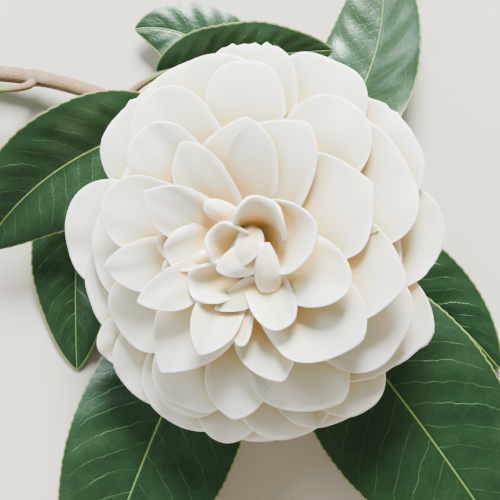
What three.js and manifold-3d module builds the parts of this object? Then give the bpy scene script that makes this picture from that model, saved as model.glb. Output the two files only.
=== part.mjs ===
// A cut camellia sprig with one formal double bloom, lying on its back on a level surface.
// Millimetres, +Z up. The origin is on that surface, under the middle of the sprig.
// Bearings are in degrees, clockwise from +Y as seen from above. Elevations are above the horizontal.

import * as THREE from 'three';
import { mergeVertices } from 'three/addons/utils/BufferGeometryUtils.js';
import Module from 'manifold-3d';

const wasm = await Module();
wasm.setup();

const { degToRad, lerp, clamp } = THREE.MathUtils;
const UP = new THREE.Vector3(0, 0, 1);

// Driving sizes.
const bloomSeat = new THREE.Vector3(24, 12, 27); // where the bloom joins the stem
const bloomTilt = 11; // the bloom's axis leans this far from the vertical
const bloomTiltBearing = -123;
const petalThickness = 0.8;
const leafThickness = 1.15;
const clearance = 0.35; // between pieces that meet

// The packed claws of the petals make one dense body round the bloom's axis, as [radius, height] points.
const packedClaws = [[6.5, 0], [17, 2.4], [30, 5.4], [31, 8], [23.5, 12.5], [15.5, 17], [8.5, 20], [4, 22]];
const clawSides = 20;

// Rings of petals from the outside in. Each petal is [bearing, reach, width, own], with its reach measured
// from the bloom's axis to its tip, and what it doesn't share with its ring in own. rise is the midrib's
// elevation at the claw and at the tip, shoulder is how far the petal's shoulders stand back from its tip
// as a share of its length, power is the shape of the tip, 1 for pointed, 2 for round and 4 for square,
// tipAt is where the tip is between the anticlockwise margin, -1, and the clockwise one, 1, cup is the
// curvature across the petal, roll lifts its clockwise side over its neighbour, lift raises the petal,
// seat moves its claw off the axis, and the share of its length up to buried lies among the packed claws.
const rings = [
  {
    height: 1.6, start: 5, rise: [18, -10], shoulder: 0.28, power: 2.4, cup: 0.004, roll: 4, buried: 0.42,
    petals: [
      [-0.7, 51.2, 25, { power: 4 }], [24, 51.5, 27, { power: 3.4 }], [52, 50, 32, { lift: 0.8 }],
      [83.5, 48.8, 33], [122, 51.4, 34, { power: 1.3, tipAt: -0.3 }], [145, 51.3, 22, { lift: 0.4 }],
      [153, 50.8, 28, { lift: -0.8 }], [168.5, 51, 26], [179, 51.4, 24, { lift: -0.8 }],
      [-171, 52.8, 19, { power: 1.7 }], [-157.5, 51.6, 30, { lift: -0.5 }], [-140.5, 51, 25],
      [-126, 50, 15], [-110, 45.8, 30, { lift: 0.5 }], [-95, 45.4, 28, { lift: -0.6 }],
      [-86, 49.6, 29, { lift: 0.6 }], [-45, 48.6, 30, { power: 3 }], [-20, 50, 36],
    ],
  },
  {
    height: 3.8, start: 4.6, rise: [27, -8], shoulder: 0.28, power: 2.2, cup: 0.008, roll: 4, buried: 0.5,
    petals: [
      [-1.5, 47.2, 21, { power: 3 }], [64, 44.5, 32], [40, 45.3, 26, { lift: -0.8 }],
      [96, 38.5, 26, { lift: -0.6 }], [122, 45.2, 28, { power: 2.8 }],
      [158.5, 45.6, 25, { power: 1.8, tipAt: -0.5 }], [-174.5, 44.6, 17, { power: 1.5 }],
      [-154.5, 44.8, 24, { power: 2.8 }], [-152, 48, 25, { lift: -1.2 }], [-122, 41, 23, { power: 2.6 }],
      [-92, 41.5, 28, { lift: -0.6 }], [-60, 38, 28, { lift: -0.6 }], [-33, 46.8, 22],
    ],
  },
  {
    height: 6.6, start: 4.2, rise: [38, 0], shoulder: 0.34, power: 1.3, cup: 0.014, roll: 5, buried: 0.45,
    petals: [
      [-6, 33.2, 21, { tipAt: 0.35 }], [16.5, 35.2, 23, { tipAt: 0.5, power: 1.5 }],
      [62, 36.2, 28, { power: 1 }], [102, 41.2, 25, { power: 1, shoulder: 0.4, lift: -1 }],
      [133, 36.6, 25, { tipAt: -0.3, power: 1.5, lift: 0.8 }],
      [168.5, 34.4, 15.5, { tipAt: -0.3, lift: 1.4 }],
      [-145, 38.4, 21, { power: 1.1, shoulder: 0.46 }], [-99.5, 36.9, 14, { tipAt: 0.2 }],
      [-71.5, 38.6, 20, { power: 2, shoulder: 0.28, lift: -0.4 }],
      [-42, 40.2, 19, { power: 2.4, shoulder: 0.26, lift: -0.6 }],
      [-32.5, 31.6, 13.5, { tipAt: 0.2, lift: 0.6 }],
    ],
  },
  {
    height: 9, start: 3.6, rise: [53, 10], shoulder: 0.35, power: 1.1, cup: 0.03, roll: 6, buried: 0.4,
    petals: [
      [68, 20.6, 20, { power: 1.6, shoulder: 0.45, lift: 3, cup: 0.06, rise: [60, 25] }],
      [106, 28.2, 18, { power: 1.8, shoulder: 0.4 }], [150, 21.6, 12, { power: 2.4, lift: 3, cup: 0.06 }],
      [-178, 23.8, 5.5, { power: 2.5, lift: 0.5 }], [-157.3, 27.9, 12.5, { power: 1.2, lift: 1 }],
      [-118.5, 29.2, 11, { tipAt: 0.3, lift: 1 }], [-108, 21.8, 12, { power: 2, lift: 0.6 }],
      [-84, 22.5, 12, { power: 1.6, lift: -0.5 }], [-58, 28.8, 14, { power: 1, lift: 1 }],
    ],
  },
  {
    height: 12, start: 1, rise: [62, 20], shoulder: 0.3, power: 2.4, cup: 0.12, roll: 0, buried: 0.3,
    petals: [
      [8, 10.5, 14, { seat: [4.5, 2.4], rise: [55, 45], roll: 10 }],
      [-62.6, 16, 6, { seat: [4.5, 4.6], rise: [70, -10], cup: -0.3, lift: 1 }],
      [-103, 17.8, 9, { seat: [-0.2, 4.5], rise: [50, 8], roll: 10 }],
      [-102, 15.5, 9, { seat: [1.5, -5.7], rise: [50, 12], roll: -20 }],
      [-122.7, 12.8, 7, { seat: [4.1, -7.6], rise: [45, 5], cup: -0.2, lift: 4, power: 1.3 }],
      [178, 12.6, 7.4, { seat: [5.8, 2.4], start: 0, rise: [20, -45], cup: -0.25, lift: 11 }],
    ],
  },
  {
    height: 19, start: -4, rise: [75, -30], shoulder: 0.5, power: 1.6, cup: -0.2, roll: 0, buried: 0.1,
    petals: [
      [-125, 6.8, 10.5, { seat: [0, -1.4] }], [-120, 5.6, 9, { seat: [0.5, 1.2], lift: 0.8 }],
      [-45, 5.6, 17, { seat: [-1.6, -0.2], start: 2, rise: [60, 80], cup: 0.16, power: 2.6, lift: -8 }],
      [-100, 5.5, 4.5, { seat: [-7.9, -2], start: -3, rise: [40, -30], cup: -0.4, lift: -2 }],
    ],
  },
];
const petalRows = 3;
const petalColumns = 4;

// Scales that wrap the bloom's foot.
const calyx = {
  radius: 6, floor: 1.8, sides: 12, scales: 5, scaleWidth: 11, scaleReach: 13, scaleThickness: 1.2,
  rise: [2, 8], shoulder: 0.5, power: 1.8, cup: 0.02, roll: 3,
};

// The stem from the cut end to the neck under the bloom, as points from the bloom's seat. The last two
// lie on the bloom's axis.
const stem = {
  route: [[-97, 47, -24.7], [-76, 46.5, -22.8], [-52, 43, -20.5], [-30, 34, -19], [-13, 19, -18.5],
    [-4, 7.5, -16], [0.6, 1.4, -9.5], [0.48, 0.31, -2.95]],
  cutRadius: 2.3, neckRadius: 1.7, sides: 8, steps: 26,
};

// Leaves from the bloom back to the cut end. foot is the petiole's foot as a share of the stem's
// length from the cut end, stalk is the bearing that the petiole sets out on, heading is the blade's
// bearing at its base and sweep how far it turns, pitch is the elevation at the base and droop how far
// that falls to the tip, roll turns the blade about its midrib, and fold lifts both halves from it. Four
// leaves come down to the surface.
const leaves = [
  { foot: 0.955, stalk: 130, heading: 139.5, sweep: 8, pitch: -3.94, droop: 13, roll: -4, fold: 9,
    length: 107, width: 50 },
  { foot: 0.925, stalk: -150, heading: -153, sweep: -10, pitch: -3.12, droop: 11, roll: 7, fold: 7,
    length: 106, width: 45 },
  { foot: 0.89, stalk: 96, heading: 112, sweep: 28, pitch: -4, droop: 5, roll: 8, fold: 8,
    length: 70, width: 27 },
  { foot: 0.84, stalk: 62, heading: 58, sweep: -72, pitch: -3.68, droop: 8, roll: -20, fold: 26,
    length: 76, width: 32 },
  { foot: 0.76, stalk: 20, heading: 10, sweep: -110, pitch: -2, droop: 5, roll: 6, fold: 10,
    length: 48, width: 24 },
  { foot: 0.69, stalk: -38, heading: -98, sweep: -50, pitch: 12, droop: 40, roll: -18, fold: 22,
    length: 66, width: 34 },
  { foot: 0.51, stalk: 60, heading: 80, sweep: 8, pitch: 16, droop: 12, roll: 26, fold: 12,
    length: 48, width: 21 },
  { foot: 0.44, stalk: -170, heading: -174, sweep: -8, pitch: -5.94, droop: -2, roll: 10, fold: 26,
    length: 62, width: 26 },
  { foot: 0.3, stalk: -90, heading: -100, sweep: -14, pitch: 8, droop: 22, roll: -6, fold: 14,
    length: 58, width: 30 },
];
const petiole = { length: 11, radius: 1.1, sunk: 4, swelling: 0.25, steps: 5, sides: 6 };
const leafRows = 9;
const leafColumns = 4;

const petalWhite = new THREE.MeshStandardMaterial({ color: 0xf4f1e8, roughness: 0.6, metalness: 0 });
const leafGreen = new THREE.MeshStandardMaterial({ color: 0x1f4a2a, roughness: 0.35, metalness: 0 });
const barkBrown = new THREE.MeshStandardMaterial({ color: 0x7d6a4c, roughness: 0.85, metalness: 0 });
const scaleGreen = new THREE.MeshStandardMaterial({ color: 0x8a9a5b, roughness: 0.7, metalness: 0 });

function horizontal(bearing) {
  const angle = degToRad(bearing);
  return new THREE.Vector3(Math.sin(angle), Math.cos(angle), 0);
}

function direction(bearing, elevation) {
  const angle = degToRad(elevation);
  return horizontal(bearing).multiplyScalar(Math.cos(angle)).addScaledVector(UP, Math.sin(angle));
}

function indexed(points, triangles) {
  const geometry = new THREE.BufferGeometry();
  geometry.setAttribute('position', new THREE.Float32BufferAttribute(points.flatMap((p) => p.toArray()), 3));
  geometry.setIndex(triangles);
  return geometry;
}

// A closed blade: surface(u, v) for u and v from 0 to 1, given its thickness to both sides and a rim.
function blade(surface, rows, columns, thickness) {
  const nudge = 1e-3;
  const points = [];
  for (const side of [1, -1]) {
    for (let i = 0; i <= rows; i += 1) {
      for (let j = 0; j <= columns; j += 1) {
        const u = clamp(i / rows, nudge, 1 - nudge);
        const v = clamp(j / columns, nudge, 1 - nudge);
        const alongU = surface(u + nudge, v).sub(surface(u - nudge, v));
        const alongV = surface(u, v + nudge).sub(surface(u, v - nudge));
        const normal = alongV.cross(alongU).normalize();
        points.push(surface(i / rows, j / columns).addScaledVector(normal, (side * thickness) / 2));
      }
    }
  }
  const perSide = (rows + 1) * (columns + 1);
  const face = (i, j) => i * (columns + 1) + j;
  const back = (i, j) => perSide + face(i, j);
  const triangles = [];
  const quad = (a, b, c, d) => triangles.push(a, b, c, a, c, d);
  for (let i = 0; i < rows; i += 1) {
    for (let j = 0; j < columns; j += 1) {
      quad(face(i, j), face(i, j + 1), face(i + 1, j + 1), face(i + 1, j));
      quad(back(i, j), back(i + 1, j), back(i + 1, j + 1), back(i, j + 1));
    }
    quad(face(i, 0), face(i + 1, 0), back(i + 1, 0), back(i, 0));
    quad(face(i, columns), back(i, columns), back(i + 1, columns), face(i + 1, columns));
  }
  for (let j = 0; j < columns; j += 1) {
    quad(face(0, j), back(0, j), back(0, j + 1), face(0, j + 1));
    quad(face(rows, j), face(rows, j + 1), back(rows, j + 1), back(rows, j));
  }
  return indexed(points, triangles);
}

// A closed round limb along a curve, with radius(t) for t from 0 to 1 and flat ends.
function limb(curve, radius, steps, sides) {
  const { normals, binormals } = curve.computeFrenetFrames(steps, false);
  const points = [];
  for (let i = 0; i <= steps; i += 1) {
    const centre = curve.getPointAt(i / steps);
    for (let k = 0; k < sides; k += 1) {
      const angle = (2 * Math.PI * k) / sides;
      points.push(centre.clone()
        .addScaledVector(normals[i], radius(i / steps) * Math.cos(angle))
        .addScaledVector(binormals[i], radius(i / steps) * Math.sin(angle)));
    }
  }
  points.push(curve.getPointAt(0), curve.getPointAt(1));
  const triangles = [];
  const last = steps * sides;
  for (let k = 0; k < sides; k += 1) {
    const next = (k + 1) % sides;
    for (let i = 0; i < last; i += sides) {
      triangles.push(i + k, i + next, i + sides + next, i + k, i + sides + next, i + sides + k);
    }
    triangles.push(points.length - 2, next, k);
    triangles.push(points.length - 1, last + k, last + next);
  }
  return indexed(points, triangles);
}

function solidOf(geometry) {
  const bare = geometry.clone();
  bare.deleteAttribute('normal');
  bare.deleteAttribute('uv');
  const merged = mergeVertices(bare, 1e-4);
  return new wasm.Manifold(new wasm.Mesh({
    numProp: 3,
    vertProperties: new Float32Array(merged.attributes.position.array),
    triVerts: new Uint32Array(merged.index.array),
  }));
}

// Joins geometries into one closed solid. A hollow that joining seals is filled and a loose scrap dropped.
function fused(geometries) {
  const whole = geometries.map(solidOf).reduce((sum, solid) => sum.add(solid));
  const largest = whole.decompose().reduce((a, b) => (b.volume() > a.volume() ? b : a));
  const mesh = largest.getMesh();
  const geometry = new THREE.BufferGeometry();
  const positions = new Float32Array(mesh.numVert * 3);
  for (let i = 0; i < mesh.numVert; i += 1) {
    positions.set(mesh.vertProperties.subarray(i * mesh.numProp, i * mesh.numProp + 3), i * 3);
  }
  geometry.setAttribute('position', new THREE.BufferAttribute(positions, 3));
  geometry.setIndex(new THREE.BufferAttribute(mesh.triVerts, 1));
  return geometry;
}

function named(name, geometry, material) {
  const flat = geometry.toNonIndexed();
  flat.computeVertexNormals();
  const mesh = new THREE.Mesh(flat, material);
  mesh.name = name;
  return mesh;
}

// The surface of one petal about the bloom's axis: u runs from the claw to the tip, v across.
function petalSurface(ring, [bearing, reach, width, own]) {
  const { claw = 0.3, lift = 0, tipAt = 0, seat = [0, 0], ...shape } = { ...ring, ...own };
  const [start, end] = shape.rise.map(degToRad);
  const turn = end - start;
  const radius = (reach - shape.start) / (Math.sin(end) - Math.sin(start));
  const outward = horizontal(bearing);
  const sideways = horizontal(bearing + 90);
  const foot = new THREE.Vector3(...seat, shape.height + lift);
  return (u, v) => {
    const across = 2 * v - 1;
    const fromTip = (across - tipAt) / (across > tipAt ? 1 - tipAt : 1 + tipAt);
    const setBack = 1 - Math.sqrt(1 - Math.abs(fromTip) ** shape.power);
    const half = (width / 2) * lerp(1, claw, (1 - u) ** 2.2);
    const elevation = start + turn * u * (1 - shape.shoulder * setBack);
    const distance = shape.start + radius * (Math.sin(elevation) - Math.sin(start));
    const rise = radius * (Math.cos(start) - Math.cos(elevation));
    const [flat, steep] = [Math.cos(elevation), Math.sin(elevation)];
    const ahead = outward.clone().multiplyScalar(flat).addScaledVector(UP, steep);
    const normal = outward.clone().multiplyScalar(-steep).addScaledVector(UP, flat);
    const side = sideways.clone().applyAxisAngle(ahead, -degToRad(shape.roll));
    const bend = across * half * shape.cup;
    return foot.clone().addScaledVector(outward, distance).addScaledVector(UP, rise)
      .addScaledVector(side, Math.sin(bend) / shape.cup)
      .addScaledVector(normal, (1 - Math.cos(bend)) / shape.cup);
  };
}

function turned(profile, sides) {
  const closed = [[0, profile[0][1]], ...profile, [0, profile.at(-1)[1]]];
  return new THREE.LatheGeometry(closed.map(([x, y]) => new THREE.Vector2(x, y)), sides).rotateX(Math.PI / 2);
}

function makeBloom() {
  const pieces = [turned(packedClaws, clawSides)];
  for (const ring of rings) {
    for (const petal of ring.petals) {
      const surface = petalSurface(ring, petal);
      const free = (u, v) => surface(lerp(ring.buried, 1, u), v);
      pieces.push(blade(free, petalRows, petalColumns, petalThickness));
    }
  }
  return named('bloom', fused(pieces), petalWhite);
}

function makeCalyx() {
  const { radius, floor, sides } = calyx;
  const foot = -clearance - floor;
  const pieces = [turned([[radius * 0.55, foot], [radius, foot + floor * 0.6], [radius, -clearance]], sides)];
  const ring = { ...calyx, height: -1.5, start: 4.5, claw: 0.75 };
  for (let i = 0; i < calyx.scales; i += 1) {
    const scale = petalSurface(ring, [20 + (360 * i) / calyx.scales, calyx.scaleReach, calyx.scaleWidth]);
    pieces.push(blade(scale, petalRows, petalColumns, calyx.scaleThickness));
  }
  return named('calyx', fused(pieces), scaleGreen);
}

const stemCurve = new THREE.CatmullRomCurve3(
  stem.route.map(([x, y, z]) => new THREE.Vector3(x, y, z).add(bloomSeat)), false, 'centripetal');

function stemRadius(t) {
  const swelling = leaves.reduce((sum, leaf) => sum + Math.exp(-(((t - leaf.foot) / 0.012) ** 2)), 0);
  return lerp(stem.cutRadius, stem.neckRadius, t) + petiole.swelling * Math.min(swelling, 1);
}

function makeStem() {
  return named('stem', limb(stemCurve, stemRadius, stem.steps, stem.sides), barkBrown);
}

// The half width of a leaf's blade at s from its base to its tip, as a share of its greatest.
function leafOutline(s) {
  const rise = 0.62;
  const fall = 0.78;
  const peak = rise / (rise + fall);
  return (s ** rise * (1 - s) ** fall) / (peak ** rise * (1 - peak) ** fall);
}

// The midrib of a leaf: frames from the base of its blade to its tip.
function midrib(leaf, base) {
  const steps = 40;
  const frames = [];
  const point = base.clone();
  for (let i = 0; i <= steps; i += 1) {
    const s = i / steps;
    const bearing = leaf.heading + leaf.sweep * s;
    const along = direction(bearing, leaf.pitch - leaf.droop * s * (0.4 + 0.6 * s));
    const side = horizontal(bearing + 90).applyAxisAngle(along, degToRad(leaf.roll));
    frames.push({ point: point.clone(), side, normal: side.clone().cross(along) });
    point.addScaledVector(along, leaf.length / steps);
  }
  return (s) => {
    const i = Math.min(Math.floor(s * steps), steps - 1);
    const share = s * steps - i;
    const mix = (key) => frames[i][key].clone().lerp(frames[i + 1][key], share);
    return { point: mix('point'), side: mix('side').normalize(), normal: mix('normal').normalize() };
  };
}

function leafSurface(leaf, base) {
  const frameAt = midrib(leaf, base);
  const fold = degToRad(leaf.fold);
  return (u, v) => {
    const s = clamp(u, 0.004, 0.996);
    const { point, side, normal } = frameAt(s);
    const across = 2 * v - 1;
    const half = (leaf.width / 2) * leafOutline(s);
    const reach = Math.abs(across) * half;
    const lift = reach * Math.sin(fold) - half * 0.16 * Math.abs(across) ** 3;
    const out = Math.sign(across) * reach * Math.cos(fold);
    return point.addScaledVector(side, out).addScaledVector(normal, lift);
  };
}

function makeLeaf(leaf, number) {
  const foot = stemCurve.getPointAt(leaf.foot);
  const along = stemCurve.getTangentAt(leaf.foot);
  const setsOut = direction(leaf.stalk, leaf.pitch);
  const clear = setsOut.clone().addScaledVector(along, -setsOut.dot(along)).normalize();
  const start = foot.clone().addScaledVector(clear, stemRadius(leaf.foot) + clearance);
  const base = start.clone().addScaledVector(clear, petiole.length * 0.3)
    .addScaledVector(setsOut, petiole.length * 0.7);
  const bend = start.clone().addScaledVector(clear, petiole.length * 0.35);
  const inside = base.clone().addScaledVector(direction(leaf.heading, leaf.pitch), petiole.sunk);
  const curve = new THREE.QuadraticBezierCurve3(start, bend, inside);
  const stalk = limb(curve, (t) => petiole.radius * lerp(1.15, 0.75, t), petiole.steps, petiole.sides);
  const leafBlade = blade(leafSurface(leaf, base), leafRows, leafColumns, leafThickness);
  return named(`leaf_${number}`, fused([stalk, leafBlade]), leafGreen);
}

const sprig = new THREE.Group();
const flower = new THREE.Group();
flower.add(makeBloom(), makeCalyx());
flower.quaternion.setFromAxisAngle(
  UP.clone().cross(horizontal(bloomTiltBearing)).normalize(), degToRad(bloomTilt));
flower.position.copy(bloomSeat);
sprig.add(flower, makeStem());
leaves.forEach((leaf, i) => sprig.add(makeLeaf(leaf, i + 1)));

export default sprig;
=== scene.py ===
"""A cut camellia sprig with one formal double bloom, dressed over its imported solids.

Metres, +Z up, in the solids' own frame. Bearings are in degrees, clockwise from +Y as seen from above,
and elevations are above the horizontal, as in the source of the solids.
"""

import math

import bmesh
import bpy
from mathutils import Matrix, Quaternion, Vector, noise
from mathutils.bvhtree import BVHTree


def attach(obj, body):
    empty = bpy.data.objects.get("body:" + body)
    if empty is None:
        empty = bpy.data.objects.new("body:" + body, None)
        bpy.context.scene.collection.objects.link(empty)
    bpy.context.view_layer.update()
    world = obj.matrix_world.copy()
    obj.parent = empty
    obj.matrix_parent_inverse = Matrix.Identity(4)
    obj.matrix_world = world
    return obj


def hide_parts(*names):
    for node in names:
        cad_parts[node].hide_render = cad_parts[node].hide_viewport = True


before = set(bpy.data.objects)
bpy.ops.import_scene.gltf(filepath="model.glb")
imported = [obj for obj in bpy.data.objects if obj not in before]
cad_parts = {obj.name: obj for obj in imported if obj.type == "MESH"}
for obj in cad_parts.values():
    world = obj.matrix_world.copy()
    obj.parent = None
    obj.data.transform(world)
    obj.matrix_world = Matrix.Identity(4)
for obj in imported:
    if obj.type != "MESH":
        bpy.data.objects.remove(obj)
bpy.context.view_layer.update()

MM = 0.001
UP = Vector((0, 0, 1))

# Where the bloom sits on its stem, and how far and which way it leans.
BLOOM_SEAT = Vector((24, 12, 27)) * MM
BLOOM_TILT = 11
BLOOM_TILT_BEARING = -123

# The camera looks straight down on the bloom's rim.
RIM_HEIGHT = 33 * MM
VIEW_CENTRE = BLOOM_SEAT - Vector((1.8, 1.8, 0)) * MM
VIEW_DISTANCE = 0.5
VIEW_WIDTH = 128.2 * MM
SENSOR_WIDTH = 36
CLIP_END = 10

# Each light's place, size, power and colour. All face the bloom.
LIGHTS = {
    "sky": ((0.05, 1.0, 0.75), 0.5, 92, (0.97, 1.0, 0.96)),
    "cool_side": ((-0.95, 0.45, 0.55), 0.5, 12, (0.88, 0.97, 1.0)),
    "warm_ground": ((0.2, -1.0, 0.6), 0.8, 7, (1.0, 0.84, 0.60)),
}
WORLD_COLOUR = (0.99, 0.98, 0.89, 1)
WORLD_STRENGTH = 0.27
FLOOR_REACH = 1.5

# The petals, ring by ring from the outside in, in millimetres and degrees. A ring's height is how far its
# claws stand over the bloom's seat, and start is how far they stand from its axis.
#
# - reach is measured from the axis to the petal's tip. length, where it is given, is the midrib's own.
# - rise is the midrib's elevation at the claw and at the tip, and curl turns the tip further up or down.
# - shoulder is how far the shoulders stand back from the tip, as a share of the petal's length.
# - power is the shape of the tip: 1 is pointed, 2 round and 4 square. tip_at is where the tip is between
#   the anticlockwise margin, -1, and the clockwise one, 1.
# - claw is the claw's width, as a share of the petal's.
# - cup is the curvature across the petal at its claw and at its tip.
# - hems turn the anticlockwise and the clockwise margin up or down, and hem is how wide they are.
# - roll lifts the clockwise side over its neighbour, lift raises the whole petal, and seat moves its claw
#   off the axis.
# - frill is how uneven the tip is, as a share of the petal's length, and ripple is the height of its waves.


def petal(bearing, reach, width, **own):
    return {"bearing": bearing, "reach": reach, "width": width, **own}


RINGS = [
    {
        "name": "guard", "height": 1.6, "start": 5, "rise": (18, -10), "shoulder": 0.28, "power": 2.4,
        "cup": (0.012, 0.002), "roll": 4, "hems": (-8, -8), "ripple": 0.8, "thickness": 0.42,
        "petals": [
            petal(-0.7, 51.2, 25, frill=0.016, power=4), petal(24, 51.5, 27, power=3.4),
            petal(52, 50, 32, frill=0.006, lift=0.8),
            petal(85, 49.2, 29, frill=0.006, tip_at=-0.1, power=1.9, shoulder=0.36),
            petal(124, 51.4, 33, frill=0.01, power=1.2, shoulder=0.34, tip_at=-0.4),
            petal(145, 51.3, 22, lift=0.4), petal(153, 50.8, 28, lift=-0.8), petal(168.5, 51, 26),
            petal(179, 51.4, 24, lift=-0.8),
            petal(-171, 52.8, 19, power=1.7), petal(-157.5, 51.6, 30, lift=-0.5),
            petal(-140.5, 51, 25), petal(-126, 50, 15, hems=(-30, -30)),
            petal(-110, 45.8, 30, lift=0.5), petal(-95, 45.4, 28, lift=-0.6),
            petal(-86, 49.6, 29, lift=0.6), petal(-45, 48.6, 30, frill=0.008, power=3), petal(-20, 50, 36),
        ],
    },
    {
        "name": "outer", "height": 3.8, "start": 4.6, "rise": (27, -8), "shoulder": 0.28, "power": 2.2,
        "cup": (0.014, 0.005), "roll": 4, "hems": (-6, -6), "ripple": 0.6, "thickness": 0.42,
        "petals": [
            petal(-1.5, 47.2, 21, power=3), petal(60, 45, 34, power=2.8, lift=-0.9),
            petal(36, 45, 23, lift=0.8), petal(96, 38.5, 26, lift=-0.6), petal(122, 45.2, 28, power=2.8),
            petal(158.5, 45.6, 25, power=1.8, tip_at=-0.5), petal(-174.5, 44.6, 17, power=1.5, lift=1.3),
            petal(-156, 45.4, 23, power=3, ripple=0.3), petal(-156, 47.4, 20, power=3, lift=-2, ripple=0.3),
            petal(-122, 41, 23, power=2.6), petal(-92, 41.5, 28, lift=-0.6), petal(-60, 38, 28, lift=-0.6),
            petal(-33, 46.8, 22),
        ],
    },
    {
        "name": "middle", "height": 6.6, "start": 4.2, "rise": (38, 0), "shoulder": 0.34, "power": 1.3,
        "cup": (0.02, 0.012), "roll": 5, "hems": (0, 0), "ripple": 0.4, "thickness": 0.42,
        "petals": [
            petal(-6, 33.2, 21, tip_at=0.35), petal(16.5, 35.2, 23, tip_at=0.5, power=1.5),
            petal(62, 36.2, 28, power=1), petal(101, 41.4, 28, power=1.1, shoulder=0.4, lift=-1.6),
            petal(133, 36.8, 25, tip_at=-0.3, power=1.4, lift=2.2),
            petal(168.5, 34.4, 15.5, tip_at=-0.3, lift=1.4), petal(-145, 38.4, 21, power=1.1, shoulder=0.46),
            petal(-99.5, 36.9, 14, tip_at=0.2), petal(-71.5, 38.6, 20, power=2, shoulder=0.28, lift=-0.4),
            petal(-42, 40.2, 19, power=2.4, shoulder=0.26, lift=-1.4, ripple=0.6),
            petal(-32.5, 31.6, 13.5, tip_at=0.2, lift=2.2),
        ],
    },
    {
        "name": "inner", "height": 9, "start": 3.6, "rise": (53, 10), "shoulder": 0.35, "power": 1.1,
        "cup": (0.04, 0.025), "roll": 6, "hems": (0, 0), "ripple": 0.3, "thickness": 0.5,
        "petals": [
            petal(
                68, 20.6, 20, power=1.6, shoulder=0.45, lift=3, cup=(0.07, 0.07), hems=(-65, -20), hem=1.8,
                rise=(60, 25)),
            petal(106, 28.2, 18, power=1.8, shoulder=0.4, hems=(-40, -20)),
            petal(150, 21.6, 12, power=2.4, lift=3, cup=(0.11, 0.11), hems=(-65, -10)),
            petal(-178, 23.8, 5.5, power=2.5, lift=0.5),
            petal(-157.3, 27.9, 12.5, power=1.2, cup=(0.1, 0.09), hems=(-60, -10), hem=2.6, lift=1),
            petal(-118.5, 29.2, 11, tip_at=0.3, lift=1), petal(-108, 21.8, 12, power=2, lift=0.6),
            petal(-84, 22.5, 12, power=1.6, lift=-0.5), petal(-58, 28.8, 14, power=1, hems=(0, -60), lift=1),
        ],
    },
    {
        "name": "crown", "height": 12, "start": 1, "rise": (62, 20), "shoulder": 0.3, "power": 2.4,
        "cup": (0.12, 0.16), "roll": 0, "hems": (0, 0), "ripple": 0.1, "thickness": 0.8,
        "petals": [
            petal(
                16, 10.4, 17, seat=(3.5, 3.3), rise=(64, 54), curl=-45, hems=(-25, -50), hem=4,
                cup=(0.18, 0.18), power=2.7, shoulder=0.32, tip_at=-0.1, length=17.6, claw=0.4),
            petal(-62.6, 16, 6, seat=(4.5, 4.6), rise=(70, -10), cup=(-0.3, -0.38), lift=1, claw=0.8),
            petal(
                -117, 18, 11.5, seat=(-3.4, 6), rise=(50, 8), roll=10, hems=(0, -75), hem=2.6,
                cup=(0.1, 0.14)),
            petal(
                -101, 15.8, 13.5, seat=(1.5, -5.9), rise=(62, 12), roll=-6, hems=(-95, 0), hem=2.4,
                cup=(0.22, 0.24), lift=-1.5),
            petal(
                -122, 13.8, 7.4, seat=(4.6, -7.9), rise=(45, 0), roll=-14, cup=(-0.14, -0.18), lift=4.8,
                power=1.1, claw=0.5, shoulder=0.7, tip_at=0.2),
            petal(
                178, 12.6, 7.4, seat=(5.8, 2.4), start=0, rise=(20, -45), cup=(-0.25, -0.3), lift=11,
                claw=0.25),
        ],
    },
    {
        "name": "heart", "height": 19, "start": -4, "rise": (75, -30), "shoulder": 0.5, "power": 1.6,
        "cup": (-0.2, -0.2), "roll": 0, "hems": (0, 0), "ripple": 0, "thickness": 0.8,
        "petals": [
            petal(-112, 7.2, 8.6, seat=(0.4, -1.9), power=1.2, shoulder=0.6, tip_at=0.1),
            petal(-158, 5.6, 6.6, seat=(1.6, 1.9), lift=0.7, power=1.3, shoulder=0.6),
            petal(
                -40, 6, 16, seat=(-0.7, -1.2), start=2, rise=(32, 70), curl=-50, cup=(0.19, 0.2), power=2.2,
                shoulder=0.4, lift=-3, length=11.4, hems=(-60, -30), hem=2.6),
            petal(
                -100, 5.5, 5, seat=(-8.2, -1.8), start=0, rise=(30, -30), cup=(-0.4, -0.5), claw=0.7, lift=1),
        ],
    },
]
# What a petal does unless its ring or its own row says otherwise.
PETAL_HABIT = {
    "lift": 0, "curl": 0, "frill": 0, "tip_at": 0, "seat": (0, 0), "claw": 0.3, "hem": 2.2, "length": 0,
}
# A petal's grid, the steps that its midrib is summed in, and the unevenness of its surface in millimetres.
PETAL_COLUMNS = 26
PETAL_ROWS = 30
PETAL_STEPS = 48
PETAL_TONE_STEP = 0.618
CURL_FROM = 0.7
CLAW_FLARE = 2.2
UNEVENNESS = 0.5

# The bloom's outside is taken as a dome over its seat, in millimetres, that falls with the square of the
# distance from the axis. The deeper a petal lies under it, the more painted shade it gets.
DOME_HEIGHT = 25
DOME_FALL = 0.009

# Painted shade: petals are darkened from white to cream and gold where others stand within reach over them,
# up to a limit, and more towards the middle.
CREASE_RAYS = 14
CREASE_TURN = 137.5
CREASE_REACH = 14 * MM
CREASE_START = 0.1 * MM
CREASE_LIMIT = 0.5
CREASE_SPREADS = 3
MIDDLE_RADIUS = 48 * MM
MIDDLE_SHADE = 0.2

# The body of packed claws, as heights over the bloom's seat and radii, in millimetres.
RECEPTACLE = [(0, 6.3), (2, 9), (5, 10), (10, 8), (16, 5), (22, 2)]
RECEPTACLE_SIDES = 32

# The foot and tip of each stamen that shows, in plan, in millimetres.
STAMENS = [
    (Vector((30.9, 43.6, 0)), Vector((31.6, 45.6, 0))),
    (Vector((52.1, 14.2, 0)), Vector((54.0, 15.1, 0))),
]
STAMEN_RINGS = 9
STAMEN_SIDES = 10
STAMEN_LIFT = 0.15 * MM
FILAMENT_RADIUS = 0.26 * MM
ANTHER_RADIUS = 0.34 * MM
ANTHER_RING = 6

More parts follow.
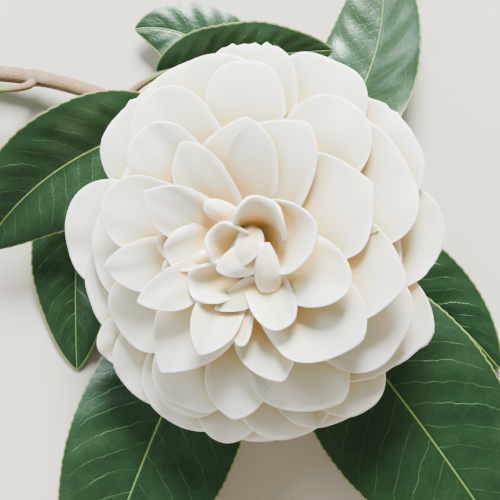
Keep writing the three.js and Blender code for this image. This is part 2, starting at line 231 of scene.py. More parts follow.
# The calyx: for each tier of scales their number, reach, width and height, their habit, and the cup that
# they grow from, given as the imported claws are.
CALYX_TIERS = [(5, 13, 11, -1.2), (5, 9.5, 8, -2.0)]
CALYX_HABIT = {
    **PETAL_HABIT, "start": 3.5, "rise": (2, 10), "shoulder": 0.5, "power": 1.8, "cup": (0.02, 0.04),
    "roll": 4, "hems": (0, 0), "ripple": 0.1, "claw": 0.75,
}
CALYX_CUP = [(-2.3, 3.2), (-1.6, 5), (-0.6, 5.8), (0.6, 6)]
CALYX_SIDES = 28
CALYX_BEARING = 20
TIER_TURN = 36
SCALE_GRID = 14
SCALE_THICKNESS = 0.5 * MM
SCALE_TONE_STEP = 0.31
SCALE_SEED = 70

# The stem from the cut end to the neck under the bloom, as points from the bloom's seat in millimetres.
STEM_ROUTE = [
    (-97, 47, -24.7), (-76, 46.5, -22.8), (-52, 43, -20.5), (-30, 34, -19), (-13, 19, -18.5),
    (-4, 7.5, -16), (0.6, 1.4, -9.5), (0.48, 0.31, -2.95),
]
CUT_RADIUS = 2.3 * MM
NECK_RADIUS = 1.7 * MM
STEM_RINGS = 150
STEM_SIDES = 28
SWELLING = 0.25 * MM
SWELLING_SPAN = 0.012

# The leaves from the bloom back to the cut end, in millimetres and degrees. foot is where a leaf joins the
# stem, as a share of the stem from the cut end, and stalk is the bearing at which its petiole sets out.
# heading and pitch are the blade's bearing and elevation at its base, and sweep and droop are how far it
# turns and sinks by its tip. roll turns the blade about its midrib, and fold raises its two halves.


def leaf(foot, stalk, heading, sweep, pitch, droop, roll, fold, length, width):
    return {
        "foot": foot, "stalk": stalk, "heading": heading, "sweep": sweep, "pitch": pitch,
        "droop": droop, "roll": roll, "fold": fold, "length": length, "width": width,
    }


LEAVES = [
    leaf(0.955, 130, 139.5, 8, -3.94, 13, -4, 9, 107, 50),
    leaf(0.925, -150, -153, -10, -3.12, 11, 7, 7, 106, 45),
    leaf(0.89, 96, 112, 28, -4, 5, 8, 8, 70, 27),
    leaf(0.84, 62, 58, -72, -3.68, 8, -20, 26, 76, 32),
    leaf(0.76, 20, 10, -110, -2, 5, 6, 10, 48, 24),
    leaf(0.69, -38, -98, -50, 12, 40, -18, 22, 66, 34),
    leaf(0.51, 60, 80, 8, 16, 12, 26, 12, 48, 21),
    leaf(0.44, -170, -174, -8, -5.94, -2, 10, 26, 62, 26),
    leaf(0.3, -90, -100, -14, 8, 22, -6, 14, 58, 30),
]
# A blade's grid, its margin's teeth, the keel over its midrib, and the waves and quilting of its surface.
# LEAF_SPAN keeps its ends from closing to a point.
LEAF_ROWS = 150
LEAF_COLUMNS = 28
LEAF_STEPS = 60
LEAF_SPAN = (0.004, 0.997)
LEAF_THICKNESS = 0.45 * MM
LEAF_TONE_STEP = 0.37
TOOTH_SPACING = 2.6
TOOTH_DEPTH = 0.35 * MM
TOOTHED_FROM = 0.9
KEEL_HEIGHT = 1.2 * MM
KEEL_WIDTH = 2.2 * MM
MARGIN_DROOP = 0.16
WAVE_HEIGHT = 0.9 * MM
QUILT_HEIGHT = 0.22 * MM
# A petiole starts just off the stem, goes straight out, bends into its own way and ends inside the blade.
PETIOLE_LENGTH = 11 * MM
PETIOLE_RADIUS = 1.1 * MM
PETIOLE_TAPER = (1.15, 0.6)
PETIOLE_SUNK = 4 * MM
PETIOLE_RINGS = 16
PETIOLE_SIDES = 14
PETIOLE_STRAIGHT = 0.3
PETIOLE_BEND = 0.35
CLEARANCE = 0.35 * MM

# The material slots of a leaf's lower side and petiole.
LOWER_SIDE = 1
STALK = 2

# The tone of round limbs, and how closely a blade's rows crowd towards its tip.
LIMB_TONE = 0.5
ROW_CROWDING = 1.25


def lerp(a, b, share):
    return a + (b - a) * share


def clamp(value, low=0.0, high=1.0):
    return max(low, min(high, value))


def horizontal(bearing):
    angle = math.radians(bearing)
    return Vector((math.sin(angle), math.cos(angle), 0))


def direction(bearing, elevation):
    angle = math.radians(elevation)
    return horizontal(bearing) * math.cos(angle) + UP * math.sin(angle)


def bloom_place():
    tilt_axis = UP.cross(horizontal(BLOOM_TILT_BEARING)).normalized()
    return Matrix.Translation(BLOOM_SEAT) @ Matrix.Rotation(math.radians(BLOOM_TILT), 4, tilt_axis)


BLOOM_PLACE = bloom_place()


# Shader maths.


class Value:
    """A socket of a finish. Arithmetic on it adds Math nodes."""

    def __init__(self, finish, socket):
        self.finish = finish
        self.socket = socket

    def __add__(self, other):
        return self.finish.math("ADD", self, other)

    def __radd__(self, other):
        return self.finish.math("ADD", other, self)

    def __sub__(self, other):
        return self.finish.math("SUBTRACT", self, other)

    def __rsub__(self, other):
        return self.finish.math("SUBTRACT", other, self)

    def __mul__(self, other):
        return self.finish.math("MULTIPLY", self, other)

    def __rmul__(self, other):
        return self.finish.math("MULTIPLY", other, self)

    def __truediv__(self, other):
        return self.finish.math("DIVIDE", self, other)

    def __pow__(self, other):
        return self.finish.math("POWER", self, other)

    def __abs__(self):
        return self.finish.math("ABSOLUTE", self)

    def clamped(self):
        return self.finish.node("ShaderNodeClamp", {}, {"Value": self})

    def step(self, low, high):
        """0 below low, 1 above high, smooth between them."""
        return self.finish.node(
            "ShaderNodeMapRange", {"interpolation_type": "SMOOTHSTEP"},
            {"Value": self, "From Min": low, "From Max": high})


class Finish:
    """A material and the nodes that make it."""

    def __init__(self, name, **constants):
        self.material = bpy.data.materials.new(name)
        self.material.use_nodes = True
        self.nodes = self.material.node_tree.nodes
        self.links = self.material.node_tree.links
        self.shader = self.nodes["Principled BSDF"]
        for socket, value in constants.items():
            self.shader.inputs[socket.replace("_", " ")].default_value = value

    def node(self, kind, settings=None, inputs=None, output=0):
        """One output of a new node, with its settings made before its inputs are fed."""
        node = self.nodes.new(kind)
        for key, value in (settings or {}).items():
            if key == "stops":
                while len(node.color_ramp.elements) < len(value):
                    node.color_ramp.elements.new(0.5)
                for element, (position, colour) in zip(node.color_ramp.elements, value):
                    element.position = position
                    element.color = (*colour, 1)
            else:
                setattr(node, key, value)
        for key, value in (inputs or {}).items():
            self.feed(node.inputs[key], value)
        return Value(self, node.outputs[output])

    def feed(self, socket, value):
        if isinstance(value, Value):
            self.links.new(value.socket, socket)
        elif isinstance(value, tuple) and len(value) == 3 and socket.type == "RGBA":
            socket.default_value = (*value, 1)
        else:
            socket.default_value = value

    def math(self, operation, *terms):
        return self.node("ShaderNodeMath", {"operation": operation}, dict(enumerate(terms)))

    def mix(self, share, a, b):
        """A colour that goes from a to b with share. The colour sockets of Mix are 6, 7 and out 2."""
        return self.node("ShaderNodeMix", {"data_type": "RGBA"}, {0: share, 6: a, 7: b}, 2)

    def uv(self):
        """Across, from 0 to 1, and along, from 0 at the base to 1 at the tip."""
        coordinates = self.node("ShaderNodeUVMap", {"uv_map": "UVMap"})
        across = self.node("ShaderNodeSeparateXYZ", {}, {0: coordinates}, "X")
        along = Value(self, across.socket.node.outputs["Y"])
        return across, along

    def place(self):
        return self.node("ShaderNodeTexCoord", {}, {}, "Object")

    def attribute(self, name):
        return self.node("ShaderNodeAttribute", {"attribute_name": name}, {}, "Fac")

    def vector(self, x, y, z=0.0):
        return self.node("ShaderNodeCombineXYZ", {}, {"X": x, "Y": y, "Z": z})

    def noise(self, vector, scale, detail=3.0, roughness=0.5):
        inputs = {"Vector": vector, "Scale": scale, "Detail": detail, "Roughness": roughness}
        return self.node("ShaderNodeTexNoise", {}, inputs)

    def bump(self, height, depth, strength):
        bumped = self.node("ShaderNodeBump", {}, {"Height": height, "Distance": depth, "Strength": strength})
        self.wear("Normal", bumped)

    def wear(self, socket, value):
        self.feed(self.shader.inputs[socket], value)


def petal_finish():
    finish = Finish(
        "petal", Roughness=0.5, Subsurface_Weight=0.3, Subsurface_Scale=0.002,
        Sheen_Weight=0.1, Sheen_Roughness=0.5,
    )
    finish.wear("Subsurface Radius", (1.0, 0.75, 0.5))
    across, along = finish.uv()
    tone = finish.attribute("tone")
    depth = finish.attribute("depth")
    crease = finish.attribute("crease")
    edge = finish.attribute("edge")
    # Fine veins that fan out from the claw.
    veins = finish.noise(finish.vector(across * 46, along * 2.2, tone * 9), 1.0, 2.0)
    blotch = finish.noise(finish.vector(across * 3, along * 3, tone * 17), 1.0, 3.0)
    # Painted shade: from white in the open to cream and gold in the creases, towards the middle and deep
    # under the bloom's dome, with random blotches.
    stops = [
        (0.0, (0.81, 0.805, 0.72)), (0.25, (0.74, 0.715, 0.575)), (0.5, (0.70, 0.64, 0.43)),
        (0.75, (0.71, 0.56, 0.28)), (1.0, (0.68, 0.46, 0.18)),
    ]
    shade = crease * 1.9 + (depth - 2) * 0.024 + (blotch - 0.5) * 0.08
    body = finish.node("ShaderNodeValToRGB", {"stops": stops}, {0: shade})
    body = finish.mix((veins - 0.5) * 0.3, body, (0.76, 0.69, 0.56))
    # Painted highlight: the petals' margins are whitened as lit rims.
    body = finish.mix((1 - edge.step(0.0, 1.7)) * 0.9, body, (0.98, 0.98, 0.95))
    finish.wear("Base Color", body)
    finish.wear("Roughness", 0.46 + veins * 0.12)
    finish.bump(veins + blotch * 0.6, 0.00012, 0.5)
    return finish.material


def leaf_finish(name, upper):
    finish = Finish(
        name, Specular_IOR_Level=0.6 if upper else 0.3, Specular_Tint=(0.68, 1.0, 0.78, 1.0),
        Coat_Roughness=0.25, Sheen_Weight=0.12, Sheen_Roughness=0.5, Sheen_Tint=(0.55, 1.0, 0.62, 1.0),
    )
    across, along = finish.uv()
    tone = finish.attribute("tone")
    rib = finish.attribute("rib")
    edge = finish.attribute("edge")
    side = abs(across - 0.5) * 2
    # Side veins leave the midrib, bend towards the tip and loop into the next before the margin.
    branch = finish.math("GREATER_THAN", across, 0.5)
    wander = finish.noise(finish.vector(across * 7, along * 16, tone * 11), 1.0, 3.0) - 0.5
    turn = along * 15 - side * 2.2 - (side ** 4) * 0.9 + branch * 0.45 + wander * 0.5
    ridge = 1 - abs(finish.math("FRACT", turn) - 0.5) * 2
    faint = finish.noise(finish.vector(across * 6, along * 10, tone * 31), 1.0, 2.0).step(0.35, 0.6)
    fade = edge.step(1.0, 4.0) * along.step(0.02, 0.1) * (1 - along.step(0.9, 0.98))
    vein = ridge.step(0.925, 1.0) * fade * (0.25 + faint * 0.75)
    loops = finish.node(
        "ShaderNodeTexVoronoi", {"feature": "DISTANCE_TO_EDGE"},
        {"Vector": finish.vector(across * 13, along * 30, tone * 5), "Scale": 1.0})
    net = (1 - loops.step(0.0, 0.08)) * edge.step(0.5, 2.0)
    thinning = 1 - along * 0.55
    midrib = 1 - (rib / thinning).step(0.22, 0.5)
    groove = 1 - (rib / thinning).step(0.5, 1.4)
    margin = 1 - edge.step(0.15, 0.5)
    mottle = finish.noise(finish.vector(across * 4, along * 9, tone * 23), 1.0, 4.0, 0.6)
    grain = finish.noise(finish.vector(across * 60, along * 150, tone * 3), 1.0, 3.0)
    if upper:
        dark, light = (0.0045, 0.017, 0.0055), (0.014, 0.044, 0.0135)
        stalk, fine, pale = (0.14, 0.24, 0.05), (0.05, 0.12, 0.035), (0.22, 0.30, 0.08)
    else:
        dark, light = (0.05, 0.11, 0.035), (0.09, 0.17, 0.055)
        stalk, fine, pale = (0.24, 0.30, 0.10), (0.13, 0.20, 0.07), (0.16, 0.22, 0.08)
    body = finish.mix((mottle - 0.25).clamped() * 1.4, dark, light)
    body = finish.mix(grain * 0.25, body, dark)
    body = finish.mix(net * 0.05, body, fine)
    body = finish.mix(vein * 0.6, body, fine)
    body = finish.mix(groove * 0.6, body, dark)
    body = finish.mix(midrib * 0.9, body, stalk)
    body = finish.mix(margin * 0.8, body, pale)
    finish.wear("Base Color", body)
    finish.wear("Roughness", (0.26 if upper else 0.5) + mottle * 0.16 + vein * 0.1 + grain * 0.06)
    finish.wear("Coat Weight", (mottle - 0.2).clamped() * (0.35 if upper else 0.05))
    finish.bump(mottle * 0.5 - vein * 0.5 - net * 0.12 - groove * 0.5 + midrib + grain * 0.1, 0.00025, 0.6)
    return finish.material


def bark_finish():
    finish = Finish("bark", Specular_IOR_Level=0.3)
    across, along = finish.uv()
    place = finish.place()
    grain = finish.noise(finish.vector(across * 30, along * 26), 1.0, 5.0, 0.6)
    patches = finish.noise(place, 260, 4.0, 0.6)
    spots = finish.node(
        "ShaderNodeTexVoronoi", {}, {"Vector": finish.vector(across * 9, along * 70), "Scale": 1.0})
    lenticels = 1 - spots.step(0.1, 0.2)
    brown = finish.mix(grain, (0.10, 0.055, 0.028), (0.34, 0.22, 0.12))
    brown = finish.mix((patches - 0.5).clamped() * 1.6, brown, (0.42, 0.35, 0.24))
    green = finish.mix(grain, (0.10, 0.14, 0.035), (0.22, 0.27, 0.08))
    body = finish.mix(along.step(0.45, 0.8), brown, green)
    body = finish.mix(lenticels * 0.6, body, (0.50, 0.40, 0.26))
    finish.wear("Base Color", body)
    finish.wear("Roughness", 0.6 + grain * 0.25)
    finish.bump(grain + lenticels * 0.5, 0.0003, 0.7)
    return finish.material


def calyx_finish():
    finish = Finish("calyx", Specular_IOR_Level=0.3, Sheen_Weight=0.4, Sheen_Roughness=0.4)
    across, along = finish.uv()
    tone = finish.attribute("tone")
    down = finish.noise(finish.vector(across * 60, along * 18, tone * 7), 1.0, 3.0)
    side = abs(across - 0.5) * 2
    rim = finish.math("MAXIMUM", side, along).step(0.7, 1.0)
    body = finish.mix(down, (0.17, 0.22, 0.06), (0.34, 0.38, 0.15))
    body = finish.mix(rim * 0.8, body, (0.20, 0.11, 0.04))
    finish.wear("Base Color", body)
    finish.wear("Roughness", 0.6 + down * 0.2)
    finish.bump(down, 0.0002, 0.6)
    return finish.material


def cut_wood_finish():
    finish = Finish("cut_wood", Specular_IOR_Level=0.3)
    place = finish.place()
    grain = finish.noise(place, 900, 4.0, 0.6)
    finish.wear("Base Color", finish.mix(grain, (0.42, 0.33, 0.16), (0.68, 0.60, 0.38)))
    finish.wear("Roughness", 0.6 + grain * 0.2)
    finish.bump(grain, 0.0002, 0.6)
    return finish.material


def anther_finish():
    finish = Finish("anther", Roughness=0.6)
    grain = finish.noise(finish.place(), 2500, 3.0)
    finish.wear("Base Color", finish.mix(grain, (0.40, 0.30, 0.06), (0.72, 0.60, 0.22)))
    finish.bump(grain, 0.0001, 0.6)
    return finish.material


def floor_finish():
    finish = Finish("floor", Specular_IOR_Level=0.2)
    grain = finish.noise(finish.place(), 14, 5.0, 0.6)
    finish.wear("Base Color", finish.mix(grain, (0.56, 0.52, 0.45), (0.62, 0.58, 0.51)))
    finish.wear("Roughness", 0.8 + grain * 0.1)
    return finish.material


# Shapes.


def new_mesh():
    """An empty mesh with the layers that the finishes read."""
    shape = bmesh.new()
    shape.loops.layers.uv.new("UVMap")
    for name in ("tone", "edge", "rib", "depth", "crease"):
        shape.verts.layers.float.new(name)
    return shape


def add_blade(shape, surface, rows, columns, thickness, tone, size, under=0):
    """A thin blade: surface(along, across) gives its middle, for along from 0 to 1 and across from -1 to 1.

    size is its half width, for along, and its length, both in millimetres. They give each point's distance
    from the margin and from the midrib. under is the material slot of its lower side.
    """
    blade = new_mesh()
    uv = blade.loops.layers.uv["UVMap"]
    tones = blade.verts.layers.float["tone"]
    edges = blade.verts.layers.float["edge"]
    ribs = blade.verts.layers.float["rib"]
    depths = blade.verts.layers.float["depth"]
    bmesh.ops.create_grid(blade, x_segments=columns, y_segments=rows, size=1.0)
    # Rows and columns crowd towards the tip and the margins.
    for vertex in blade.verts:
        across = math.sin(vertex.co.x * math.pi / 2)
        along = 1 - ((1 - vertex.co.y) / 2) ** ROW_CROWDING
        vertex.co = (across, along, 0)
        vertex[tones] = tone
        half = size[0](along)
        vertex[edges] = min((1 - abs(across)) * half, (1 - along) * size[1])
        vertex[ribs] = abs(across) * half
    for face in blade.faces:
        for loop in face.loops:
            across, along, _ = loop.vert.co
            loop[uv].uv = (across / 2 + 0.5, along)
    for vertex in blade.verts:
        vertex.co = surface(vertex.co.y, vertex.co.x)
        vertex[depths] = depth_in_bloom(vertex.co)
    blade.normal_update()
    lower = blade.faces[:]
    below = {vertex: vertex.co - vertex.normal * thickness / 2 for vertex in blade.verts}
    upper = bmesh.ops.extrude_face_region(blade, geom=lower, use_keep_orig=True)["geom"]
    for vertex in (element for element in upper if isinstance(element, bmesh.types.BMVert)):
        vertex.co += vertex.normal * thickness / 2
    for vertex, place in below.items():
        vertex.co = place
    for face in lower:
        face.material_index = under
    bmesh.ops.recalc_face_normals(blade, faces=blade.faces[:])
    for face in blade.faces:
        face.smooth = True
    join(shape, blade)


def depth_in_bloom(point):
    """How far a point lies under the bloom's domed outside, in millimetres."""
    own = BLOOM_PLACE.inverted() @ point / MM
    return DOME_HEIGHT - DOME_FALL * own.xy.length ** 2 - own.z


def join(shape, addition):
    """Adds one mesh to another and frees it."""
    mesh = bpy.data.meshes.new("part")
    addition.to_mesh(mesh)
    addition.free()
    shape.from_mesh(mesh)
    bpy.data.meshes.remove(mesh)


def add_limb(shape, places, radii, sides, materials=(0, 0)):
    """A closed round limb through places, with a radius at each. Its side and its ends have materials."""
    limb = new_mesh()
    uv = limb.loops.layers.uv["UVMap"]
    tones = limb.verts.layers.float["tone"]
    rings = []
    aside = None
    for i, place in enumerate(places):
        ahead = places[min(i + 1, len(places) - 1)] - places[max(i - 1, 0)]
        ahead.normalize()
        reference = ahead.orthogonal() if aside is None else aside
        aside = (reference - ahead * reference.dot(ahead)).normalized()
        turn = Matrix((aside, ahead.cross(aside), ahead)).transposed().to_4x4()
        ring = bmesh.ops.create_circle(
            limb, cap_ends=i in (0, len(places) - 1), segments=sides, radius=radii[i],
            matrix=Matrix.Translation(place) @ turn)["verts"]
        rings.append(ring)
    for low, high in zip(rings, rings[1:]):
        edges = {edge for vertex in low + high for edge in vertex.link_edges
                 if all(end in low or end in high for end in edge.verts)}
        bmesh.ops.bridge_loops(limb, edges=list(edges))
    order = {
        vertex: (k / sides, i / (len(rings) - 1))
        for i, ring in enumerate(rings) for k, vertex in enumerate(ring)
    }
    for vertex in limb.verts:
        vertex[tones] = LIMB_TONE
    for face in limb.faces:
        face.smooth = len(face.verts) == 4
        face.material_index = materials[0] if face.smooth else materials[1]
        shares = [order[vertex][0] for vertex in face.verts]
        closes_ring = max(shares) - min(shares) > 0.5
        for loop in face.loops:
            around, along = order[loop.vert]
            loop[uv].uv = (1.0 if closes_ring and around == 0 else around, along)
    bmesh.ops.recalc_face_normals(limb, faces=limb.faces[:])
    join(shape, limb)


def add_round_body(shape, profile, sides):
    """A round body on the bloom's axis, from heights over the seat and radii, in millimetres."""
    places = [BLOOM_PLACE @ (UP * height * MM) for height, _ in profile]
    add_limb(shape, places, [radius * MM for _, radius in profile], sides)


def piece(name, shape, finishes, node):
    """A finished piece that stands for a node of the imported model."""
    mesh = bpy.data.meshes.new(name)
    shape.to_mesh(mesh)
    shape.free()
    made = bpy.data.objects.new(name, mesh)
    bpy.context.scene.collection.objects.link(made)
    for finish in finishes:
        mesh.materials.append(finish)
    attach(made, "root")
    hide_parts(node)
    return made


# Petals.


def arc(length, curvature, slope):
    """Where a line ends that starts at a slope and bends evenly: along and up."""
    if abs(curvature) < 1e-6:
        return length * math.cos(slope), length * math.sin(slope)
    turned = slope + curvature * length
    return (math.sin(turned) - math.sin(slope)) / curvature, (math.cos(slope) - math.cos(turned)) / curvature


def petal_surface(habit, seed):
    """The middle surface of one petal about the bloom's axis."""
    start, end = habit["rise"]

    def elevation(along):
        curl = habit["curl"] * clamp((along - CURL_FROM) / (1 - CURL_FROM)) ** 2
        return math.radians(lerp(start, end, along) + curl)

    out, up = [0.0], [0.0]
    for i in range(PETAL_STEPS):
        angle = elevation((i + 0.5) / PETAL_STEPS)
        out.append(out[-1] + math.cos(angle) / PETAL_STEPS)
        up.append(up[-1] + math.sin(angle) / PETAL_STEPS)
    length = habit["length"] or (habit["reach"] - habit["start"]) / out[-1]
    outward = horizontal(habit["bearing"])
    sideways = horizontal(habit["bearing"] + 90)
    phase = seed * 2.4

    def surface(u, across):
        from_tip = across - habit["tip_at"]
        from_tip /= 1 - habit["tip_at"] if from_tip > 0 else 1 + habit["tip_at"]
        set_back = 1 - math.sqrt(max(0.0, 1 - abs(from_tip) ** habit["power"]))
        frill = habit["frill"] * noise.noise(Vector((across * 7, seed, 0))) * 2 * u
        along = clamp(u * (1 - habit["shoulder"] * set_back + frill), 0, 1.05)
        i = min(int(along * PETAL_STEPS), PETAL_STEPS - 1)
        rest = along * PETAL_STEPS - i
        distance = habit["start"] + length * lerp(out[i], out[i + 1], rest)
        height = habit["height"] + habit["lift"] + length * lerp(up[i], up[i + 1], rest)
        angle = elevation(along)
        half = petal_half_width(habit, u)
        ahead = outward * math.cos(angle) + UP * math.sin(angle)
        normal = UP * math.cos(angle) - outward * math.sin(angle)
        turned = Quaternion(ahead, -math.radians(habit["roll"]))
        side = turned @ sideways
        normal = turned @ normal
        cup = lerp(*habit["cup"], along)
        hem_turn = math.radians(habit["hems"][across > 0]) * clamp(along * 1.5)
        hem_width = min(habit["hem"], half)
        inner = min(abs(across) * half, half - hem_width)
        hem = abs(across) * half - inner
        inner_across, inner_up = arc(inner, cup, 0)
        hem_across, hem_up = arc(hem, cup + hem_turn / hem_width, cup * inner)
        # Long waves, short waves near the tip, and an uneven surface.
        raised = inner_up + hem_up
        raised += habit["ripple"] * math.sin(across * 4.2 + phase) * along ** 2 * 0.6
        raised += habit["ripple"] * math.sin(across * 9 + phase * 2) * along ** 4 * 0.25
        raised += UNEVENNESS * noise.noise(Vector((across * 1.6, u * 2.4, seed * 3.1))) * along
        claw = Vector((*habit["seat"], 0))
        point = claw + outward * distance + UP * height + normal * raised
        point += side * math.copysign(inner_across + hem_across, across)
        return BLOOM_PLACE @ (point * MM)

    return surface


def petal_size(habit):
    """A petal's size, as add_blade takes it."""
    return lambda along: petal_half_width(habit, along), habit["length"] or habit["reach"] - habit["start"]


def petal_half_width(habit, along):
    return habit["width"] / 2 * lerp(1, habit["claw"], (1 - along) ** CLAW_FLARE)


def make_bloom(finish):
    seed = 0
    rings = []
    for ring in RINGS:
        shape = new_mesh()
        for own in ring["petals"]:
            seed += 1
            whole = {**PETAL_HABIT, **ring, **own}
            add_blade(
                shape, petal_surface(whole, seed), PETAL_ROWS, PETAL_COLUMNS, whole["thickness"] * MM,
                seed * PETAL_TONE_STEP % 1, petal_size(whole))
        rings.append(piece(f"bloom_{ring['name']}_petals", shape, [finish], "bloom"))
    paint_crease_shade([ring.data for ring in rings])


def paint_crease_shade(meshes):
    """Sets the petals' painted shade: most where others stand closely over them, and more towards the middle.
    """
    together = bmesh.new()
    for mesh in meshes:
        together.from_mesh(mesh)
    tree = BVHTree.FromBMesh(together)
    together.free()
    ways = []
    for i in range(CREASE_RAYS):
        rise = math.sqrt(1 - (i + 0.5) / CREASE_RAYS)
        ways.append(horizontal(i * CREASE_TURN) * math.sqrt(1 - rise * rise) + UP * rise)
    for mesh in meshes:
        painted_shades = []
        for vertex in mesh.vertices:
            turn = UP.rotation_difference(vertex.normal)
            start = vertex.co + vertex.normal * CREASE_START
            closed = 0.0
            for way in ways:
                distance = tree.ray_cast(start, turn @ way, CREASE_REACH)[3]
                if distance is not None:
                    closed += 1 - distance / CREASE_REACH
            middle = clamp(1 - (vertex.co - BLOOM_SEAT).xy.length / MIDDLE_RADIUS)
            painted_shades.append(min(closed / CREASE_RAYS, CREASE_LIMIT) + MIDDLE_SHADE * middle)
        for _ in range(CREASE_SPREADS):
            painted_shades = spread(mesh, painted_shades)
        mesh.attributes["crease"].data.foreach_set("value", painted_shades)


def spread(mesh, values):
    """Each vertex's value, evened out with its neighbours'."""
    sums = [2 * value for value in values]
    counts = [2] * len(values)
    for edge in mesh.edges:
        a, b = edge.vertices
        sums[a] += values[b]
        sums[b] += values[a]
        counts[a] += 1
        counts[b] += 1
    return [total / count for total, count in zip(sums, counts)]


def make_stamens(finish):
    """The last two stamens, caught between petals. Each lies on the petals that carry it."""
    shape = new_mesh()
    depsgraph = bpy.context.evaluated_depsgraph_get()
    radii = [ANTHER_RADIUS if i >= ANTHER_RING else FILAMENT_RADIUS for i in range(STAMEN_RINGS)]
    for foot, tip in STAMENS:
        places = []
        for i in range(STAMEN_RINGS):
            over = foot.lerp(tip, i / (STAMEN_RINGS - 1)) * MM + UP
            landing = bpy.context.scene.ray_cast(depsgraph, over, -UP)[1]
            places.append(landing + UP * STAMEN_LIFT)
        add_limb(shape, places, radii, STAMEN_SIDES)
    piece("bloom_stamens", shape, [finish], "bloom")


def make_receptacle(finish):
    """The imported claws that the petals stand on."""
    shape = new_mesh()
    add_round_body(shape, RECEPTACLE, RECEPTACLE_SIDES)
    piece("bloom_receptacle", shape, [finish], "bloom")


# The stem.


class Route:
    """A centripetal Catmull-Rom curve through points, measured along its length."""

    def __init__(self, points, divisions=240):
        before = points[0] * 2 - points[1]
        after = points[-1] * 2 - points[-2]
        self.points = [before, *points, after]
        self.divisions = divisions
        self.samples = [self.at(i / divisions) for i in range(divisions + 1)]
        self.lengths = [0.0]
        for a, b in zip(self.samples, self.samples[1:]):
            self.lengths.append(self.lengths[-1] + (b - a).length)

    def at(self, share):
        """The curve's point at a share of its spans."""
        spans = len(self.points) - 3
        i = min(int(share * spans), spans - 1)
        t = share * spans - i
        a, b, c, d = self.points[i:i + 4]
        gap_a, gap_b, gap_c = (math.sqrt((q - p).length) for p, q in ((a, b), (b, c), (c, d)))
        leave = ((b - a) / gap_a - (c - a) / (gap_a + gap_b) + (c - b) / gap_b) * gap_b
        arrive = ((c - b) / gap_b - (d - b) / (gap_b + gap_c) + (d - c) / gap_c) * gap_b
        square = b * -3 + c * 3 - leave * 2 - arrive
        cube = b * 2 - c * 2 + leave + arrive
        return b + leave * t + square * t * t + cube * t * t * t

    def place(self, share):
        """The curve's point at a share of its length."""
        wanted = share * self.lengths[-1]
        i = next(k for k in range(self.divisions) if self.lengths[k + 1] >= wanted - 1e-12)
        rest = (wanted - self.lengths[i]) / (self.lengths[i + 1] - self.lengths[i])
        return self.samples[i].lerp(self.samples[i + 1], rest)

    def heading(self, share):
        low, high = max(share - 0.001, 0), min(share + 0.001, 1)
        return (self.place(high) - self.place(low)).normalized()


STEM_CURVE = Route([BLOOM_SEAT + Vector(point) * MM for point in STEM_ROUTE])


def stem_radius(share):
    swelling = sum(math.exp(-((share - own["foot"]) / SWELLING_SPAN) ** 2) for own in LEAVES)
    return lerp(CUT_RADIUS, NECK_RADIUS, share) + SWELLING * min(swelling, 1)


def make_stem(bark, cut_wood):
    shape = new_mesh()
    shares = [i / STEM_RINGS for i in range(STEM_RINGS + 1)]
    places = [STEM_CURVE.place(share) for share in shares]
    add_limb(shape, places, [stem_radius(share) for share in shares], STEM_SIDES, (0, 1))
    piece("twig", shape, [bark, cut_wood], "stem")


# Leaves.


def leaf_outline(share):
    """The half width of a leaf's blade, as a share of its greatest."""
    rise, fall = 0.62, 0.78
    peak = rise / (rise + fall)
    return share ** rise * (1 - share) ** fall / (peak ** rise * (1 - peak) ** fall)


def leaf_midrib(own, base):
    """A function that gives the midrib's place at a share of its length, the side and the upward way."""
    frames = []
    point = base.copy()
    for i in range(LEAF_STEPS + 1):
        share = i / LEAF_STEPS
        bearing = own["heading"] + own["sweep"] * share
        ahead = direction(bearing, own["pitch"] - own["droop"] * share * (0.4 + 0.6 * share))
        side = Quaternion(ahead, math.radians(own["roll"])) @ horizontal(bearing + 90)
        frames.append((point.copy(), side, side.cross(ahead)))
        point += ahead * own["length"] * MM / LEAF_STEPS

    def at(share):
        spot = share * LEAF_STEPS
        i = min(int(spot), LEAF_STEPS - 1)
        return tuple(a.lerp(b, spot - i) for a, b in zip(frames[i], frames[i + 1]))

    return at


def leaf_surface(own, base, seed):
    """The middle surface of one leaf's blade: folded, toothed, waved and quilted between its veins."""
    at = leaf_midrib(own, base)
    fold = math.radians(own["fold"])
    teeth = round(own["length"] / TOOTH_SPACING)

    def surface(along, across):
        share = clamp(along, *LEAF_SPAN)
        place, side, normal = at(share)
        half = own["width"] / 2 * MM * leaf_outline(share)
        fullness = math.sin(math.pi * share)
        toothed = clamp((abs(across) - TOOTHED_FROM) / (1 - TOOTHED_FROM))
        serration = TOOTH_DEPTH * (share * teeth % 1) * toothed * fullness ** 0.5
        reach = abs(across) * half
        keel = KEEL_HEIGHT * math.exp(-reach / KEEL_WIDTH)
        lift = (reach + keel) * math.sin(fold) - half * MARGIN_DROOP * abs(across) ** 3
        phase = seed * 2 + (2 if across > 0 else 0)
        lift += WAVE_HEIGHT * math.sin(share * 15 + phase) * across ** 2 * fullness
        quilt = math.sin((share * 9.5 - abs(across) * 1.5) * math.tau)
        lift += QUILT_HEIGHT * quilt * math.sin(math.pi * clamp(abs(across))) * fullness
        width = math.copysign(reach * math.cos(fold) + serration, across) if across else 0
        return place + side * width + normal * lift

    return surface


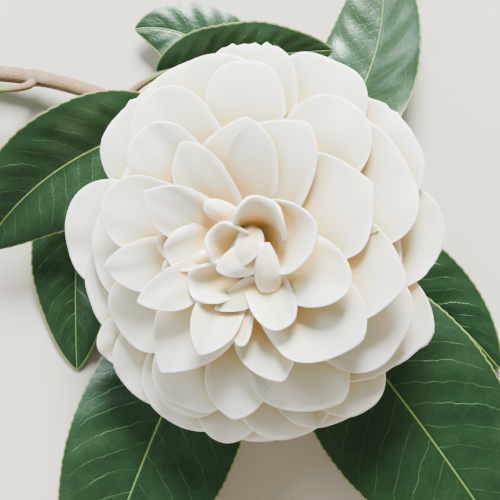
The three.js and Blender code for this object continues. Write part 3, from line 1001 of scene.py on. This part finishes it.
def make_leaf(number, own, upper, lower, stalk):
    """One leaf on its petiole. The petiole's first ring closes the gap to the stem."""
    foot = STEM_CURVE.place(own["foot"])
    along = STEM_CURVE.heading(own["foot"])
    sets_out = direction(own["stalk"], own["pitch"])
    clear = (sets_out - along * sets_out.dot(along)).normalized()
    start = foot + clear * (stem_radius(own["foot"]) + CLEARANCE)
    base = start + (clear * PETIOLE_STRAIGHT + sets_out * (1 - PETIOLE_STRAIGHT)) * PETIOLE_LENGTH
    bend = start + clear * PETIOLE_LENGTH * PETIOLE_BEND
    inside = base + direction(own["heading"], own["pitch"]) * PETIOLE_SUNK
    shape = new_mesh()
    size = (lambda share: own["width"] / 2 * leaf_outline(clamp(share, *LEAF_SPAN)), own["length"])
    add_blade(
        shape, leaf_surface(own, base, number), LEAF_ROWS, LEAF_COLUMNS, LEAF_THICKNESS,
        number * LEAF_TONE_STEP % 1, size, under=LOWER_SIDE)
    shares = [i / PETIOLE_RINGS for i in range(PETIOLE_RINGS + 1)]
    places = [start * (1 - t) ** 2 + bend * 2 * t * (1 - t) + inside * t * t for t in shares]
    places[0] -= clear * CLEARANCE
    radii = [PETIOLE_RADIUS * lerp(*PETIOLE_TAPER, t) for t in shares]
    add_limb(shape, places, radii, PETIOLE_SIDES, (STALK, STALK))
    piece(f"leaf_{number}_blade", shape, [upper, lower, stalk], f"leaf_{number}")


# The calyx.


def make_calyx(finish):
    shape = new_mesh()
    for tier, (scales, reach, width, height) in enumerate(CALYX_TIERS):
        for i in range(scales):
            bearing = CALYX_BEARING + TIER_TURN * tier + 360 * i / scales
            own = {**CALYX_HABIT, **petal(bearing, reach, width, height=height)}
            surface = petal_surface(own, SCALE_SEED + scales * tier + i)
            tone = i * SCALE_TONE_STEP % 1
            add_blade(shape, surface, SCALE_GRID, SCALE_GRID, SCALE_THICKNESS, tone, petal_size(own))
    add_round_body(shape, CALYX_CUP, CALYX_SIDES)
    piece("calyx_scales", shape, [finish], "calyx")


# The stage.


def make_stage():
    floor_shape = bmesh.new()
    bmesh.ops.create_grid(floor_shape, x_segments=1, y_segments=1, size=FLOOR_REACH)
    mesh = bpy.data.meshes.new("floor")
    floor_shape.to_mesh(mesh)
    floor_shape.free()
    mesh.materials.append(floor_finish())
    floor = bpy.data.objects.new("floor", mesh)
    bpy.context.scene.collection.objects.link(floor)


def make_camera():
    camera = bpy.data.cameras.new("camera")
    camera.sensor_width = SENSOR_WIDTH
    camera.lens = SENSOR_WIDTH * VIEW_DISTANCE / VIEW_WIDTH
    camera.clip_end = CLIP_END
    seer = bpy.data.objects.new("camera", camera)
    seer.location = (VIEW_CENTRE.x, VIEW_CENTRE.y, RIM_HEIGHT + VIEW_DISTANCE)
    bpy.context.scene.collection.objects.link(seer)
    bpy.context.scene.camera = seer


def add_light(name, place, size, power, colour):
    lamp = bpy.data.lights.new(name, "AREA")
    lamp.shape = "DISK"
    lamp.size = size
    lamp.energy = power
    lamp.color = colour
    holder = bpy.data.objects.new(name, lamp)
    holder.location = place
    holder.rotation_euler = (BLOOM_SEAT - Vector(place)).to_track_quat("-Z", "Y").to_euler()
    bpy.context.scene.collection.objects.link(holder)
    return holder


def make_lights():
    holders = {name: add_light(name, *light) for name, light in LIGHTS.items()}
    # Leaves don't mirror the warm light.
    holders["warm_ground"].visible_glossy = False
    world = bpy.data.worlds.new("studio")
    world.use_nodes = True
    background = world.node_tree.nodes["Background"]
    background.inputs["Color"].default_value = WORLD_COLOUR
    background.inputs["Strength"].default_value = WORLD_STRENGTH
    bpy.context.scene.world = world


make_camera()
petals = petal_finish()
leaf_top = leaf_finish("leaf_upper", True)
leaf_back = leaf_finish("leaf_lower", False)
bark = bark_finish()
calyx = calyx_finish()
make_bloom(petals)
make_receptacle(petals)
make_stamens(anther_finish())
make_calyx(calyx)
make_stem(bark, cut_wood_finish())
for number, own in enumerate(LEAVES, start=1):
    make_leaf(number, own, leaf_top, leaf_back, bark)
make_stage()
make_lights()
